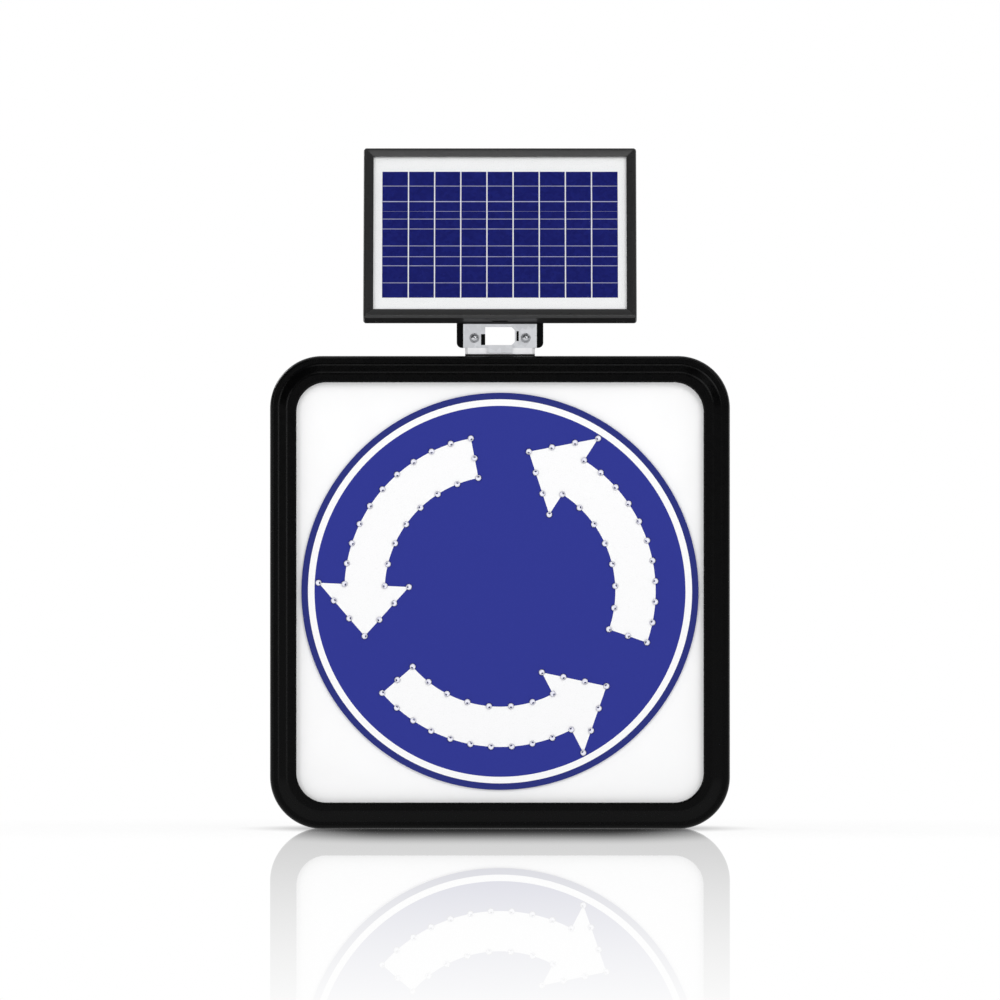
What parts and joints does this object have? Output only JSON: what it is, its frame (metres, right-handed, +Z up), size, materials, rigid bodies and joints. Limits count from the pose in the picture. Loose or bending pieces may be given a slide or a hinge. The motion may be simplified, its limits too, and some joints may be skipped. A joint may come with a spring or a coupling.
{
  "type": "roundabout sign",
  "caption": "Square lit traffic sign: a black case with a blue disc and white curved arrows edged with small lamps, and a tilted solar panel on a short neck above it.",
  "frame": {"origin": "on the flat underside of the case, midway between its sides and midway between the front of the bezel and the back of the case", "axes": "+Z up, the sign faces -Y, +X is to the viewer's right when facing the sign"},
  "size_m": [0.6, 0.1503, 0.8902],
  "materials": {
    "case_black": "satin moulded plastic",
    "seal_rubber": "matt",
    "face_white": "smooth white sheet",
    "disc_blue": "smooth coloured film",
    "film_white": "reflective film",
    "lamp_clear": "clear moulded lens",
    "board_green": "solder mask",
    "spacer_nylon": "matt",
    "zinc_steel": "bright zinc",
    "frame_black": "black anodised",
    "plain_aluminium": "mill finish",
    "panel_glass": "smooth tempered glass",
    "cell_blue": "dark blue silicon",
    "sheet_white": "white film",
    "box_black": "moulded plastic",
    "bracket_black": "black powder coat",
    "galvanised": "galvanised",
    "cast_aluminium": "fine sand cast",
    "battery_grey": "moulded plastic",
    "terminal_metal": "tinned",
    "controller_grey": "moulded plastic",
    "pad_foam": "adhesive foam"
  },
  "bodies": {
    "root": {"front_shell": "case_black", "rear_cover": "case_black", "cover_gasket": "seal_rubber", "case_screws": "zinc_steel", "face_sheet": "face_white", "disc_plate": "disc_blue", "ring_film": "film_white", "arrow_films": "film_white", "lamps_right": "lamp_clear", "lamps_left": "lamp_clear", "lamps_bottom": "lamp_clear", "lamp_board_right": "board_green", "lamp_board_left": "board_green", "lamp_board_bottom": "board_green", "board_spacers": "spacer_nylon", "solar_frame_bottom": "frame_black", "solar_frame_left": "frame_black", "solar_frame_top": "frame_black", "solar_frame_right": "frame_black", "frame_corner_keys": "plain_aluminium", "solar_glass": "panel_glass", "solar_cells": "cell_blue", "solar_backsheet": "sheet_white", "junction_box": "box_black", "junction_box_lid": "box_black", "junction_box_gland": "box_black", "panel_bracket": "bracket_black", "arm_screws": "zinc_steel", "clamp_plate": "galvanised", "neck_foot": "cast_aluminium", "neck_pad": "seal_rubber", "neck_backing_plate": "galvanised", "neck_bolts": "zinc_steel", "neck_nuts": "zinc_steel", "foot_bolts": "zinc_steel", "rail_lower": "plain_aluminium", "rail_upper": "plain_aluminium", "rail_plate_lower": "plain_aluminium", "rail_plate_upper": "plain_aluminium", "rail_bolts": "zinc_steel", "battery": "battery_grey", "battery_terminals": "terminal_metal", "battery_strap": "galvanised", "strap_screws": "zinc_steel", "charge_controller": "controller_grey", "controller_pad": "pad_foam", "controller_terminals": "box_black", "cable_gland": "box_black", "gland_nut": "box_black"}
  },
  "joints": []
}
